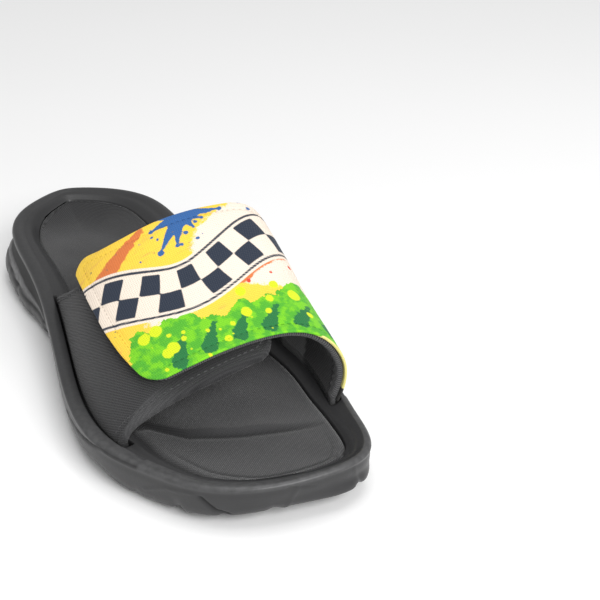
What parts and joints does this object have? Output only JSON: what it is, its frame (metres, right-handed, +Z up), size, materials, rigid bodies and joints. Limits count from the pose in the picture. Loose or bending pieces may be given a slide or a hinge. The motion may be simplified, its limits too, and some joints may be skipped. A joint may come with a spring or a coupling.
{
  "type": "sport slide sandal",
  "caption": "Right-foot sport slide sandal: raised-rim moulded sole, contoured insole and hook-and-loop straps, one dark and one with a paint-splash print.",
  "frame": {"origin": "on the floor, under the middle of the whole sandal", "axes": "+X from heel to toe, +Y to the wearer's left (inner side of this right sandal), +Z up"},
  "size_m": [0.2832, 0.1082, 0.0782],
  "materials": {
    "sole": "satin black moulded foam",
    "insole": "fine black knit over soft foam",
    "strap_lateral": "ribbed black webbing fabric",
    "strap_medial_face": "smooth printed fabric, splashes of yellow, orange, blue, cream and green",
    "strap_medial_lining": "soft black lining fabric"
  },
  "bodies": {
    "root": {"sole": "sole", "insole": "insole", "strap_lateral": "strap_lateral", "strap_medial_face": "strap_medial_face", "strap_medial_lining": "strap_medial_lining"}
  },
  "joints": []
}
